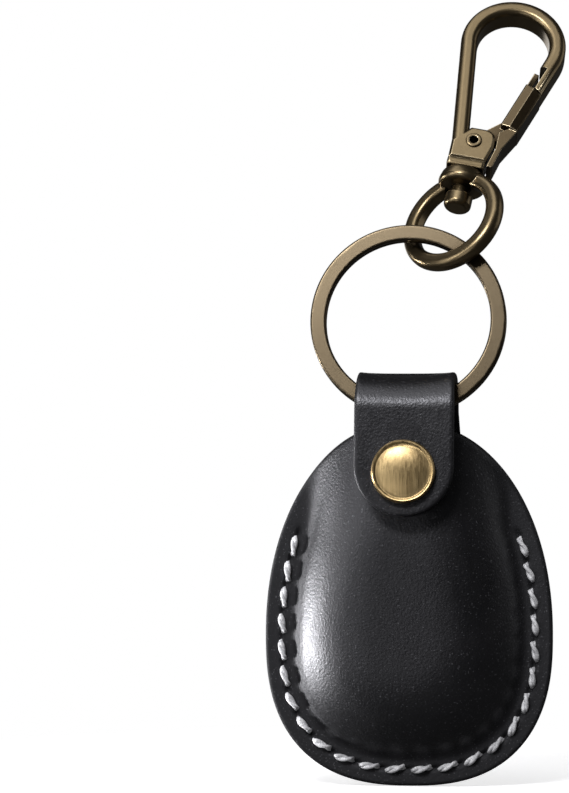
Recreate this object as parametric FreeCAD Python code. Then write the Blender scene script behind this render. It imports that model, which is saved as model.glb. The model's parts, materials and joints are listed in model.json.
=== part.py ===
import FreeCAD, Part
import math
import os

# Leather holder for a round tracker tag: a moulded pocket whose strap folds round a flat split ring
# and snaps shut, with a swivel snap hook on the ring. Millimetres and degrees.
# Frame: +Z up as it hangs, the front faces -Y, origin at the centre of the hook's bow.
# The case is drawn with its bottom at z = 0 and the inner face of its back at y = 0, the clasp in
# its own upright frame, and both are put in place at the end.

# Case leather: a flat back and a moulded front, cut to one outline and sewn together
leather = 1.6
case_width = 45.4
base_height = 23.8
crown_height = 33.7
base_power = 2.5
crown_power = 2.1
pocket_depth = 8.3
rim_width = 3.2
crease_run = 3.4
crease_growth_share = 0.3
flank_run = 13.0
flank_power = 2.4
side_run_share = 1.35
taper_start = 41.0
taper_angle = 8.0
taper_softness = 2.0
edge_softness = 1.4
seam_gap = 0.03
surface_margin = 2.0
surface_columns = 57
surface_rows = 65
slope_step = 0.08

# Stitching
stitch_inset = 2.7
stitch_end_height = 39.8
stitch_pitch = 4.2
stitch_length = 3.2
thread_width = 1.15
thread_height = 0.62
thread_leg_radius = 0.34
thread_end_share = 0.98
thread_round_share = 0.6
awl_hole_width = 0.9
awl_corner_share = 0.9
thread_groove_margin = 0.12

# Strap, one piece with the back
strap_width = 15.6
arch_radius = 4.8
arch_height = 59.0
tongue_drop = 17.0
hinge_gap = 0.1

# Snap fastener
snap_height = 49.6
cap_radius = 5.0
cap_bead_radius = 0.55
cap_slope_share = 1.6
cap_rise = 1.0
cap_post_radius = 1.3
socket_radius = 4.2
socket_height = 1.7
socket_mouth_radius = 2.45
socket_roof = 0.3
socket_lead = 0.35
spring_wire_radius = 0.2
stud_flange_radius = 3.6
stud_flange = 0.45
stud_neck_radius = 1.35
stud_head_radius = 1.75
stud_head_height = 1.15
stud_neck_share = 0.3
stud_post_radius = 1.0
stud_post_flange_radius = 3.0
stud_post_flange = 0.4
stud_post_room = 0.32
snap_fit = 0.08

# Flat split ring of two turns
ring_diameter = 31.0
ring_band = 2.5
ring_turn_thickness = 1.03
ring_turn_gap = 0.06
ring_edge_radius = 0.35
ring_jog_angle = 24.0
ring_tip = 13.0
ring_fit = 0.25
eye_place_angle = 27.0

# Hook frame: a straight spine, a round bow and a nose, cast in one with its ears and collar
hook_depth = 4.8
hook_width = 2.7
hook_edge_radius = 1.05
bow_radius = 5.85
bow_side = 3.3
bow_height = 23.6
spine_lean = 6.4
gate_lean = 17.2
nose_length = 8.3
lap_top = 1.8
lap_width = 1.25
spine_foot = 3.2
ear_reach = 3.86
ear_height = 6.2
ear_waist = 3.0
ear_corner_radius = 1.9
ear_edge = 0.4
spine_root = 3.3
collar_half_width = 3.05
collar_height = 1.35
collar_corner_radius = 0.5
collar_edge = 0.2
pivot_side = 0.5
pivot_height = 3.6
gate_slot = 2.4

# Gate with its rivet and spring
gate_depth = 4.4
gate_width = 3.1
gate_edge = 0.22
gate_gap = 0.2
gate_reach = 14.1
gate_bar_top = 4.1
gate_bar_foot = 15.1
gate_tongue_top = 2.95
gate_tongue_width = 0.8
gate_tongue_depth = 2.4
gate_root_thickness = 2.2
gate_root_radius = 2.2
gate_link_width = 2.6
gate_root_fit = 0.25
tail_gap = 0.3
tail_wall = 0.9
tail_drop = 0.6
tail_root = 1.3
rivet_radius = 1.0
rivet_bore_radius = 0.72
rivet_head_radius = 1.3
rivet_head_height = 0.28
rivet_round_share = 0.8
rivet_fit = 0.04
spring_outer_radius = 1.75
spring_length = 0.9
spring_fit = 0.12

# Swivel post and eye
post_radius = 1.5
post_seat_depth = 0.6
post_fit = 0.06
post_seat_fit = 0.02
knob_radius = 2.2
knob_height = 2.2
knob_edge = 0.8
swivel_gap = 0.3
knob_gap = 1.6
boss_radius = 4.1
boss_top_radius = 3.4
boss_height = 2.75
boss_edge = 0.9
eye_radius = 7.7
eye_band = 2.6
eye_width = 2.7
eye_outer_edge = 1.2
eye_inner_edge = 0.85
eye_turn = 34.0
eye_ring_gap = 1.4
eye_side_shift = 0.45

# How the clasp hangs against the case
hook_lean = 10.5
hook_tip = 30.0

overrun = 4.0


def vec(x, y, z):
    return FreeCAD.Vector(x, y, z)


def turned(shape, axis, angle):
    """A copy turned about an axis through the origin."""
    copy = shape.copy()
    copy.rotate(vec(0, 0, 0), axis, angle)
    return copy


def moved(shape, x, y, z):
    copy = shape.copy()
    copy.translate(vec(x, y, z))
    return copy


def smooth_step(value):
    """Rises from 0 to 1 with level ends."""
    t = min(max(value, 0), 1)
    return t * t * t * (t * (6 * t - 15) + 10)


def soft_ramp(value, softness):
    """Zero well below 0 and the value itself well above, rounded between."""
    scaled = value / softness
    if scaled > 30:
        return value
    return softness * math.log1p(math.exp(scaled))


def box(x0, x1, y0, y1, z0, z1):
    return Part.makeBox(x1 - x0, y1 - y0, z1 - z0, vec(x0, y0, z0))


def bar_between(radius, start, end):
    """A round bar from one point to another."""
    way = end - start
    return Part.makeCylinder(radius, way.Length, start, way)


def rounded_wire(corners):
    """A closed wire in the XZ plane through (x, z, radius) corners, each rounded by its radius."""
    points = [vec(x, 0, z) for x, z, radius in corners]
    spans = []
    for i, (x, z, radius) in enumerate(corners):
        back = (points[i - 1] - points[i]).normalize()
        ahead = (points[(i + 1) % len(points)] - points[i]).normalize()
        if radius == 0:
            spans.append((points[i], points[i], points[i]))
            continue
        half = back.getAngle(ahead) / 2
        reach = radius / math.tan(half)
        middle = (back + ahead).normalize()
        centre = points[i] + middle * (radius / math.sin(half))
        spans.append((points[i] + back * reach, centre - middle * radius, points[i] + ahead * reach))
    edges = []
    for i, (start, middle, end) in enumerate(spans):
        if start != end:
            edges.append(Part.Arc(start, middle, end).toShape())
        edges.append(Part.LineSegment(end, spans[(i + 1) % len(spans)][0]).toShape())
    return Part.Wire(edges)


def slab(wire, depth):
    """A plate of the wire's outline, as thick as depth, centred on y = 0."""
    face = Part.Face(wire)
    face.translate(vec(0, -depth / 2, 0))
    plate = face.extrude(vec(0, depth, 0))
    return plate


def bevelled_slab(wire, depth, bevel):
    """A slab whose front and back rims are bevelled."""
    plate = slab(wire, depth)
    rims = []
    for face in plate.Faces:
        if abs(face.normalAt(0, 0).y) > 0.99:
            rims.extend(face.Edges)
    return plate.makeChamfer(bevel, rims)


# Case outline: half the width at the widest height, egg-shaped above and squarer below
widest_height = base_height
case_height = base_height + crown_height
half_width = case_width / 2


def outline_point(angle, inset):
    """A point of the case's outline, drawn in by inset, at an angle from +X in radians."""
    across = math.cos(angle)
    up = math.sin(angle)
    reach = crown_height if up > 0 else base_height
    power = crown_power if up > 0 else base_power
    x = (half_width - inset) * math.copysign(abs(across) ** (2 / power), across)
    z = widest_height + (reach - inset) * math.copysign(abs(up) ** (2 / power), up)
    return vec(x, 0, z)


def outline_half_width(height):
    """Half the case's width at a height."""
    rise = height - widest_height
    reach = crown_height if rise > 0 else base_height
    power = crown_power if rise > 0 else base_power
    share = min(abs(rise) / reach, 1)
    return half_width * (1 - share**power) ** (1 / power)


def outline_wire(inset):
    """The closed outline as four curves that meet at the widest, top and bottom points."""
    quarter_points = 9
    tangents = [vec(0, 0, 1), vec(-1, 0, 0), vec(0, 0, -1), vec(1, 0, 0)]
    edges = []
    for quarter in range(4):
        points = []
        for i in range(quarter_points):
            angle = (quarter + i / (quarter_points - 1)) * math.pi / 2
            points.append(outline_point(angle, inset))
        curve = Part.BSplineCurve()
        curve.interpolate(
            Points=points,
            InitialTangent=tangents[quarter],
            FinalTangent=tangents[(quarter + 1) % 4],
        )
        edges.append(curve.toShape())
    return Part.Wire(edges)


def outline_prism(inset, y0, y1):
    face = Part.Face(outline_wire(inset))
    face.translate(vec(0, y0, 0))
    return face.extrude(vec(0, y1 - y0, 0))


def eased(value, run):
    """Zero below 0, then a rounded start that goes over into a straight rise after the run."""
    share = max(value, 0) / run
    if share > 1:
        return value - run / 2
    return run * share**4 * (share * (share - 3) + 5 / 2)


def pocket_height(x, z):
    """How far the front's inner face stands off the back at (x, z)."""
    rise = z - widest_height
    past_seam = soft_ramp(z - stitch_end_height, edge_softness)
    if rise <= 0:
        share = (abs(x) / half_width) ** base_power + (-rise / base_height) ** base_power
        from_edge = (1 - share ** (1 / base_power)) * half_width
    else:
        from_edge = outline_half_width(z - side_run_share * past_seam) - abs(x)
    crease = crease_run + crease_growth_share * past_seam
    climb = min(eased(from_edge - rim_width, crease) / flank_run, 1)
    full = pocket_depth - math.tan(math.radians(taper_angle)) * soft_ramp(z - taper_start, taper_softness)
    return full * (1 - (1 - climb) ** flank_power)


def front_surface(offset, margin):
    """The moulded front's inner face, or a face off it by the leather, larger than the outline."""
    step = slope_step
    reach_x = half_width + margin
    low = -margin
    high = case_height + margin
    rows = []
    for j in range(surface_rows):
        z = low + (high - low) * j / (surface_rows - 1)
        row = []
        for i in range(surface_columns):
            x = reach_x * (2 * i / (surface_columns - 1) - 1)
            slope_x = (pocket_height(x + step, z) - pocket_height(x - step, z)) / (2 * step)
            slope_z = (pocket_height(x, z + step) - pocket_height(x, z - step)) / (2 * step)
            way = vec(-slope_x, -1, -slope_z).normalize()
            row.append(vec(x, -pocket_height(x, z) - seam_gap, z) + way * offset)
        rows.append(row)
    surface = Part.BSplineSurface()
    surface.interpolate(rows)
    return surface.toShape()


def stitch_places():
    """Middle and direction of each stitch, evenly spaced along the U of the seam."""
    end_share = (stitch_end_height - widest_height) / (crown_height - stitch_inset)
    start = math.asin(end_share ** (crown_power / 2))
    steps = 720
    points = []
    for i in range(steps + 1):
        angle = math.pi - start + (math.pi + 2 * start) * i / steps
        points.append(outline_point(angle, stitch_inset))
    lengths = [0]
    for i in range(steps):
        lengths.append(lengths[-1] + (points[i + 1] - points[i]).Length)
    count = round(lengths[-1] / stitch_pitch)
    pitch = lengths[-1] / count

    def at(length):
        i = 0
        while i < steps - 1 and lengths[i + 1] < length:
            i += 1
        share = (length - lengths[i]) / (lengths[i + 1] - lengths[i])
        return points[i] + (points[i + 1] - points[i]) * share

    places = []
    quarter = pitch / 4
    for i in range(count):
        middle = i * pitch + pitch / 2
        way = at(middle + quarter) - at(middle - quarter)
        places.append((at(middle), way.normalize()))
    holes = []
    for i in range(count + 1):
        here = i * pitch
        way = at(min(here + quarter, lengths[-1])) - at(max(here - quarter, 0))
        holes.append((at(here), way.normalize()))
    return places, holes, pitch


def along(shape, middle, way):
    """A copy of a shape drawn along +X, turned to a direction in the XZ plane and put at a point."""
    angle = math.degrees(math.atan2(way.z, way.x))
    copy = turned(shape, vec(0, 1, 0), -angle)
    copy.translate(middle)
    return copy


def stitch(seat_y, out, leg_end_y):
    """One stitch along +X: a rounded bar on the seat, standing out that way, with a leg at each end."""
    reach = (stitch_length - thread_width) / 2
    ends = thread_width / 2
    corner = ends * thread_end_share
    corners = [
        (-reach - ends, -ends, corner),
        (reach + ends, -ends, corner),
        (reach + ends, ends, corner),
        (-reach - ends, ends, corner),
    ]
    bar = Part.Face(rounded_wire(corners)).extrude(vec(0, out * thread_height, 0))
    rim = []
    for edge in bar.Edges:
        if abs(edge.CenterOfMass.y - out * thread_height) < seam_gap:
            rim.append(edge)
    bar = bar.makeFillet(thread_height * thread_round_share, rim)
    bar.translate(vec(0, seat_y, 0))
    solid = bar
    for side in (-1, 1):
        leg = bar_between(thread_leg_radius, vec(side * reach, seat_y, 0), vec(side * reach, leg_end_y, 0))
        solid = solid.fuse(leg)
    return solid.removeSplitter()


def awl_slot(pitch):
    """The slot that two neighbouring stitches share, along +X, right through both layers."""
    half = (pitch - stitch_length + thread_width) / 2 + thread_leg_radius + thread_groove_margin
    width = awl_hole_width / 2
    corner = width * awl_corner_share
    corners = [(-half, -width, corner), (half, -width, corner)]
    corners += [(half, width, corner), (-half, width, corner)]
    return slab(rounded_wire(corners), leather * 2 + overrun)


# The strap's line: up the back, round the arch and down the front, seen from the side
arch_y = -arch_radius
arch_outer = arch_radius + leather
tilt = math.radians(taper_angle)
front_normal = vec(0, -math.cos(tilt), math.sin(tilt))
front_down = vec(0, -math.sin(tilt), -math.cos(tilt))
arch_centre = vec(0, arch_y, arch_height)
tongue_top = arch_centre + front_normal * arch_radius


def on_front(along_down, out):
    """A point on the middle line of the tongue's inner face, moved out along its normal."""
    return tongue_top + front_down * along_down + front_normal * out


def place_on_front(shape, along_down, out):
    """Puts a shape drawn round +Z, with +Z pointing out, on the tongue's line."""
    copy = turned(shape, vec(1, 0, 0), 90 - taper_angle)
    copy.translate(on_front(along_down, out))
    return copy


snap_down = (arch_height - snap_height) / math.cos(tilt) + arch_radius * math.tan(tilt)
panel_at_snap = vec(0, -pocket_height(0, snap_height) - seam_gap, snap_height) + front_normal * leather
snap_stack = (on_front(snap_down, 0) - panel_at_snap).dot(front_normal)


def back_panel(holes, pitch):
    plate = outline_prism(0, 0, leather)
    strip = box(-strap_width / 2, strap_width / 2, 0, leather, widest_height, arch_height)
    arch_start = vec(-strap_width / 2, arch_y, arch_height)
    ring = Part.makeCylinder(arch_outer, strap_width, arch_start, vec(1, 0, 0))
    ring = ring.cut(Part.makeCylinder(arch_radius, strap_width, arch_start, vec(1, 0, 0)))
    arch_top = arch_height + arch_outer
    upper = box(-strap_width, strap_width, arch_y - arch_outer, arch_outer, arch_height, arch_top)
    lower_cut = box(-strap_width, strap_width, -arch_outer * 2, 0, -arch_outer, 0)
    lower_cut.rotate(vec(0, 0, 0), vec(1, 0, 0), -taper_angle)
    lower_cut.translate(arch_centre)
    arch = ring.common(upper).cut(lower_cut)
    panel = plate.fuse([strip, arch])
    groove_half = thread_width / 2 + thread_groove_margin
    outer = outline_prism(stitch_inset - groove_half, leather - thread_height, leather)
    inner = outline_prism(stitch_inset + groove_half, 0, leather + overrun)
    top = stitch_end_height + thread_width
    unsewn = box(-case_width, case_width, -overrun, overrun, top, case_height + overrun)
    groove = outer.cut(inner).cut(unsewn)
    slot = awl_slot(pitch)
    cuts = [along(slot, here, way) for here, way in holes]
    return panel.cut(Part.makeCompound([groove] + cuts)).removeSplitter()


def front_panel(holes, pitch):
    behind = vec(0, pocket_depth + leather + overrun, 0)
    outer = front_surface(leather, surface_margin).extrude(behind)
    inner = front_surface(0, surface_margin * 2).extrude(behind)
    shell = outline_prism(0, -pocket_depth - leather - overrun, 0).common(outer).cut(inner)
    slot = awl_slot(pitch)
    cuts = [along(slot, here, way) for here, way in holes]
    hole = Part.makeCylinder(stud_post_radius + snap_fit, leather * 3, vec(0, 0, -leather * 2))
    cuts.append(place_on_front(hole, snap_down, -snap_stack + leather / 2))
    return shell.cut(Part.makeCompound(cuts))


def stitch_rows(places):
    front = stitch(-leather - seam_gap, -1, -seam_gap)
    back = stitch(leather - thread_height, 1, 0)
    needle = Part.makeCompound([along(front, middle, way) for middle, way in places])
    bobbin = Part.makeCompound([along(back, middle, way) for middle, way in places])
    return needle, bobbin


def strap_tongue():
    half = strap_width / 2
    length = tongue_drop
    top = Part.LineSegment(vec(-half, -hinge_gap, 0), vec(half, -hinge_gap, 0)).toShape()
    right = Part.LineSegment(vec(half, -hinge_gap, 0), vec(half, half - length, 0)).toShape()
    tip = Part.Arc(vec(half, half - length, 0), vec(0, -length, 0), vec(-half, half - length, 0)).toShape()
    left = Part.LineSegment(vec(-half, half - length, 0), vec(-half, -hinge_gap, 0)).toShape()
    plate = Part.Face(Part.Wire([top, right, tip, left])).extrude(vec(0, 0, leather))
    plate = place_on_front(plate, 0, 0)
    hole = Part.makeCylinder(cap_post_radius + snap_fit, leather * 3, vec(0, 0, -leather))
    return plate.cut(place_on_front(hole, snap_down, 0))


def snap_cap():
    """The brass cap outside the tongue, with a rolled bead and a post through the leather."""
    bead_low = vec(cap_radius - cap_bead_radius, 0, 0)
    bead_side = vec(cap_radius, 0, cap_bead_radius)
    bead_top = vec(cap_radius - cap_bead_radius, 0, cap_bead_radius * 2)
    face_rim = vec(cap_radius - cap_bead_radius * cap_slope_share, 0, cap_rise)
    profile = [
        Part.LineSegment(vec(0, 0, 0), bead_low).toShape(),
        Part.Arc(bead_low, bead_side, bead_top).toShape(),
        Part.LineSegment(bead_top, face_rim).toShape(),
        Part.LineSegment(face_rim, vec(0, 0, cap_rise)).toShape(),
        Part.LineSegment(vec(0, 0, cap_rise), vec(0, 0, 0)).toShape(),
    ]
    cap = Part.Face(Part.Wire(profile)).revolve(vec(0, 0, 0), vec(0, 0, 1), 360)
    post = Part.makeCylinder(cap_post_radius, leather + socket_roof, vec(0, 0, -leather - socket_roof))
    return place_on_front(cap.fuse(post).removeSplitter(), snap_down, leather)


def snap_socket():
    """The socket inside the tongue: a cup with a groove for its ring spring, held by the cap's post."""
    cup = Part.makeCylinder(socket_radius, socket_height)
    cup = cup.makeFillet(cap_bead_radius, [edge for edge in cup.Edges if edge.CenterOfMass.z < socket_roof])
    mouth = Part.makeCylinder(socket_mouth_radius, socket_height - socket_roof)
    lead = Part.makeCone(socket_mouth_radius + socket_lead, socket_mouth_radius, socket_lead)
    groove = Part.makeTorus(socket_mouth_radius + spring_wire_radius, spring_wire_radius * 2)
    groove.translate(vec(0, 0, socket_height / 2))
    hole = Part.makeCylinder(cap_post_radius + snap_fit, socket_height)
    cup = cup.cut([mouth, lead, groove, hole])
    return place_on_front(cup, snap_down, -socket_height)


def snap_socket_spring():
    """The ring spring that grips the stud, open at one side."""
    ring = Part.makeTorus(socket_mouth_radius + spring_wire_radius, spring_wire_radius)
    gap = box(0, socket_radius, -stud_neck_radius / 2, stud_neck_radius / 2, -socket_height, socket_height)
    ring = ring.cut(gap)
    ring.translate(vec(0, 0, socket_height / 2))
    return place_on_front(ring, snap_down, -socket_height)


def snap_stud():
    flange = Part.makeCylinder(stud_flange_radius, stud_flange)
    neck = Part.makeCylinder(stud_neck_radius, stud_flange + stud_head_height / 2)
    head = Part.makeSphere(stud_head_radius, vec(0, 0, stud_flange + stud_head_height - stud_head_radius))
    neck_height = stud_head_height * stud_neck_share
    upper = vec(0, 0, stud_flange + neck_height)
    head = head.common(Part.makeCylinder(stud_head_radius, stud_head_height - neck_height, upper))
    stud = flange.fuse([neck, head]).removeSplitter()
    stud = stud.cut(Part.makeCylinder(stud_post_radius, stud_flange + stud_head_height / 2))
    return place_on_front(stud, snap_down, -snap_stack + seam_gap)


def snap_stud_post():
    """The eyelet whose flange lies inside the pocket and whose post holds the stud."""
    seat = -leather - stud_post_room
    flange = Part.makeCylinder(stud_post_flange_radius, stud_post_flange, vec(0, 0, seat - stud_post_flange))
    start = seat - snap_fit
    post = Part.makeCylinder(stud_post_radius, stud_flange + stud_head_height / 2 - start, vec(0, 0, start))
    return place_on_front(flange.fuse(post).removeSplitter(), snap_down, -snap_stack)


# The split ring, drawn round the Y axis with its bottom at -Z
ring_outer = ring_diameter / 2
ring_inner = ring_outer - ring_band
ring_middle = ring_outer - ring_band / 2
ring_thickness = 2 * ring_turn_thickness + ring_turn_gap


def ring_section(shift):
    """The band's rounded section at the ring's bottom, with its middle at y = shift."""
    half = ring_turn_thickness / 2
    corners = [
        (shift - half, -ring_outer, ring_edge_radius),
        (shift + half, -ring_outer, ring_edge_radius),
        (shift + half, -ring_inner, ring_edge_radius),
        (shift - half, -ring_inner, ring_edge_radius),
    ]
    return turned(rounded_wire(corners), vec(0, 0, 1), 90)


def key_ring():
    """Two turns of flat wire side by side, joined by a short slanting stretch at the bottom."""
    offset = (ring_turn_thickness + ring_turn_gap) / 2
    half_jog = ring_jog_angle / 2
    pieces = []
    for shift in (-offset, offset):
        start = turned(ring_section(shift), vec(0, 1, 0), half_jog)
        pieces.append(Part.Face(start).revolve(vec(0, 0, 0), vec(0, 1, 0), 360 - ring_jog_angle))
    sections = []
    steps = 6
    for i in range(steps + 1):
        share = i / steps
        shift = offset * (2 * smooth_step(share) - 1)
        sections.append(turned(ring_section(shift), vec(0, 1, 0), half_jog * (2 * share - 1)))
    pieces.append(Part.makeLoft(sections, True))
    return pieces[0].fuse(pieces[1:]).removeSplitter()


# The hook, drawn upright: +X to the gate's side, +Z along the swivel, z = 0 on top of the collar
bow_centre = vec(bow_side, 0, bow_height)
bow_line = bow_radius + hook_width / 2
spine_side = vec(-math.cos(math.radians(spine_lean)), 0, -math.sin(math.radians(spine_lean)))
spine_down = vec(math.sin(math.radians(spine_lean)), 0, -math.cos(math.radians(spine_lean)))
nose_side = vec(math.cos(math.radians(gate_lean)), 0, -math.sin(math.radians(gate_lean)))
nose_down = vec(-math.sin(math.radians(gate_lean)), 0, -math.cos(math.radians(gate_lean)))
spine_top = bow_centre + spine_side * bow_line
nose_top = bow_centre + nose_side * bow_line
spine_length = (spine_top.z - spine_foot) / -spine_down.z
pivot = vec(pivot_side, 0, pivot_height)


def gate_point(down, out):
    """A point on the line of the nose and gate, down from the bow and out from its middle line."""
    return nose_top + nose_down * down + nose_side * out


def hook_section():
    """The bow's rounded section, square to +X, centred on the origin."""
    across = hook_width / 2
    half_depth = hook_depth / 2
    corners = [
        (-half_depth, -across, hook_edge_radius),
        (half_depth, -across, hook_edge_radius),
        (half_depth, across, hook_edge_radius),
        (-half_depth, across, hook_edge_radius),
    ]
    return turned(rounded_wire(corners), vec(0, 0, 1), 90)


def run_along(start, way, length):
    """The hook's section run straight from a point along a direction in the XZ plane."""
    face = Part.Face(hook_section())
    rod = face.extrude(vec(length, 0, 0))
    return along(rod, start, way)


def hook_bow():
    start = along(Part.Face(hook_section()), vec(0, 0, bow_line), vec(1, 0, 0))
    first = 90 + spine_lean
    start.rotate(vec(0, 0, 0), vec(0, 1, 0), -first)
    sweep = 180 + spine_lean + gate_lean
    bow = start.revolve(vec(0, 0, 0), vec(0, 1, 0), sweep)
    bow.translate(bow_centre)
    return bow


def gate_frame_box(down0, down1, out0, out1, depth):
    """A block along the gate's line."""
    block = box(down0, down1, -depth / 2, depth / 2, out0, out1)
    angle = math.degrees(math.atan2(nose_down.z, nose_down.x))
    turned_block = turned(block, vec(0, 1, 0), -angle)
    turned_block.translate(nose_top)
    return turned_block


def swing_disc(radius):
    """A thick disc round the gate's rivet."""
    return Part.makeCylinder(radius, hook_depth * 2, pivot - vec(0, hook_depth, 0), vec(0, 1, 0))


def hook_body():
    bow = hook_bow()
    spine = run_along(spine_top, spine_down, spine_length)
    nose = run_along(nose_top, nose_down, nose_length).cut(swing_disc(gate_reach + gate_gap))
    root_left = spine_top.x + spine_down.x * spine_length + spine_side.x * hook_width / 2
    ears = bevelled_slab(
        rounded_wire(
            [
                (root_left, 0, 0),
                (collar_half_width, 0, 0),
                (ear_reach, ear_waist, 0),
                (ear_reach, ear_height, ear_corner_radius),
                (root_left + hook_width, ear_height, 0),
                (root_left, spine_root, 0),
            ]
        ),
        hook_depth,
        ear_edge,
    )
    collar = rounded_plate(collar_half_width, hook_depth / 2, -collar_height, 0)
    body = bow.fuse([spine, nose, ears, collar]).removeSplitter()
    lap = gate_frame_box(lap_top, nose_length, -hook_width, lap_width - hook_width / 2, hook_depth * 2)
    slot = gate_slot / 2
    clear = gate_root_radius + gate_root_fit
    socket = Part.makeCylinder(clear, gate_slot, pivot - vec(0, slot, 0), vec(0, 1, 0))
    way_out = box(pivot.x, ear_reach + overrun, -slot, slot, pivot.z - clear, ear_height + overrun)
    swing_left = pivot.x - gate_link_width / 2 - gate_root_fit
    way_up = box(swing_left, ear_reach + overrun, -slot, slot, pivot.z, ear_height + overrun)
    rivet_hole = swing_disc(rivet_radius + rivet_fit / 2)
    seat_depth = collar_height + post_seat_depth
    seat = Part.makeCylinder(post_radius + post_seat_fit, seat_depth, vec(0, 0, -collar_height))
    return body.cut([lap, socket, way_out, way_up, rivet_hole, seat]).removeSplitter()


def rounded_plate(half_x, half_y, z0, z1):
    """A flat plate with rounded upright corners and bevelled rims."""
    plate = box(-half_x, half_x, -half_y, half_y, z0, z1)
    upright = [edge for edge in plate.Edges if abs(edge.tangentAt(edge.FirstParameter).z) > 0.99]
    plate = plate.makeFillet(collar_corner_radius, upright)
    rims = []
    for face in plate.Faces:
        if abs(face.normalAt(0, 0).z) > 0.99:
            rims.extend(face.Edges)
    return plate.makeChamfer(collar_edge, rims)


def gate():
    low = gate_bar_foot
    inner = hook_width / 2 - gate_width
    bar = gate_frame_box(gate_bar_top, low, inner, hook_width / 2, gate_depth)
    bar = bar.makeChamfer(gate_edge, bar.Edges).common(swing_disc(gate_reach))
    tongue_foot = low - gate_width
    tongue_out = inner + gate_tongue_width
    tongue = gate_frame_box(gate_tongue_top, tongue_foot, inner, tongue_out, gate_tongue_depth)
    boss = Part.makeCylinder(
        gate_root_radius, gate_root_thickness, pivot - vec(0, gate_root_thickness / 2, 0), vec(0, 1, 0)
    )
    end = gate_point(low - gate_width / 2, inner + gate_width / 2)
    way = end - pivot
    root_half = gate_root_thickness / 2
    link_half = gate_link_width / 2
    link = along(box(0, way.Length, -root_half, root_half, -link_half, link_half), pivot, way)
    side = ear_reach + tail_gap
    outer_low = gate_point(low - gate_edge, hook_width / 2 - gate_edge / 2)
    inner_low = gate_point(low - gate_edge, hook_width / 2 - tail_root)
    tail = slab(
        rounded_wire(
            [
                (outer_low.x, outer_low.z, 0),
                (inner_low.x, inner_low.z, 0),
                (side, ear_height, 0),
                (side, ear_waist, 0),
                (collar_half_width + tail_gap, -tail_drop, 0),
                (collar_half_width + tail_gap + tail_wall, -tail_drop, tail_wall / 3),
                (side + tail_wall, ear_waist, tail_wall),
            ]
        ),
        gate_depth - gate_edge,
    )
    solid = bar.fuse([tongue, boss, link, tail])
    pocket = Part.makeCylinder(
        spring_outer_radius + spring_fit,
        spring_length + spring_fit * 2,
        pivot - vec(0, spring_length / 2 + spring_fit, 0),
        vec(0, 1, 0),
    )
    return solid.cut([pocket, swing_disc(rivet_radius + rivet_fit)]).removeSplitter()


def gate_pin():
    """A hollow rivet with a rolled head at each end."""
    reach = hook_depth / 2
    shank = Part.makeCylinder(rivet_radius, hook_depth, pivot - vec(0, reach, 0), vec(0, 1, 0))
    heads = []
    for y in (-reach - rivet_head_height, reach):
        head = Part.makeCylinder(rivet_head_radius, rivet_head_height, pivot + vec(0, y, 0), vec(0, 1, 0))
        far = y if y < 0 else y + rivet_head_height
        rim = [edge for edge in head.Edges if abs(edge.CenterOfMass.y - far) < rivet_head_height / 10]
        heads.append(head.makeFillet(rivet_head_height * rivet_round_share, rim))
    return shank.fuse(heads).cut(swing_disc(rivet_bore_radius)).removeSplitter()


def gate_spring():
    """The torsion spring round the rivet, inside the gate's root, as one closed sleeve of its turns."""
    start = pivot - vec(0, spring_length / 2, 0)
    sleeve = Part.makeCylinder(spring_outer_radius, spring_length, start, vec(0, 1, 0))
    return sleeve.cut(Part.makeCylinder(rivet_radius + rivet_fit, spring_length, start, vec(0, 1, 0)))


boss_top = -collar_height - swivel_gap
boss_bottom = boss_top - boss_height
knob_top = boss_bottom - knob_gap
eye_centre = boss_top - boss_height / 2 - eye_radius
eye_bottom = eye_centre - eye_radius


def swivel_post():
    """The post seated in the collar, through the eye's boss, with its peened knob."""
    shank = Part.makeCylinder(post_radius, post_seat_depth - knob_top, vec(0, 0, knob_top))
    knob = Part.makeCylinder(knob_radius, knob_height, vec(0, 0, knob_top - knob_height))
    rim = [edge for edge in knob.Edges if edge.CenterOfMass.z < knob_top - knob_height / 2 and edge.Closed]
    low_rim = [edge for edge in rim if len(edge.Vertexes) == 1]
    knob = knob.makeFillet(knob_edge, low_rim)
    return shank.fuse(knob).removeSplitter()


def swivel_eye():
    """A cast eye, flat inside and round outside, whose top is a boss round the post."""
    half = eye_width / 2
    inner = eye_radius - eye_band / 2
    outer = eye_radius + eye_band / 2
    corners = [
        (inner, -half, eye_inner_edge),
        (outer, -half, eye_outer_edge),
        (outer, half, eye_outer_edge),
        (inner, half, eye_inner_edge),
    ]
    section = turned(rounded_wire(corners), vec(1, 0, 0), 90)
    loop = Part.Face(section).revolve(vec(0, 0, 0), vec(0, 1, 0), 360)
    loop.translate(vec(0, 0, eye_centre))
    boss = Part.makeCone(boss_radius, boss_top_radius, boss_height, vec(0, 0, boss_bottom))
    boss = boss.makeFillet(boss_edge, [edge for edge in boss.Edges if len(edge.Vertexes) == 1])
    bore = Part.makeCylinder(post_radius + post_fit, boss_height * 3, vec(0, 0, boss_bottom - boss_height))
    room = Part.makeCylinder(knob_radius + swivel_gap, knob_height, vec(0, 0, boss_bottom - knob_height))
    eye = loop.fuse(boss).cut([bore, room]).removeSplitter()
    return turned(eye, vec(0, 0, 1), -eye_turn)


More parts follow.
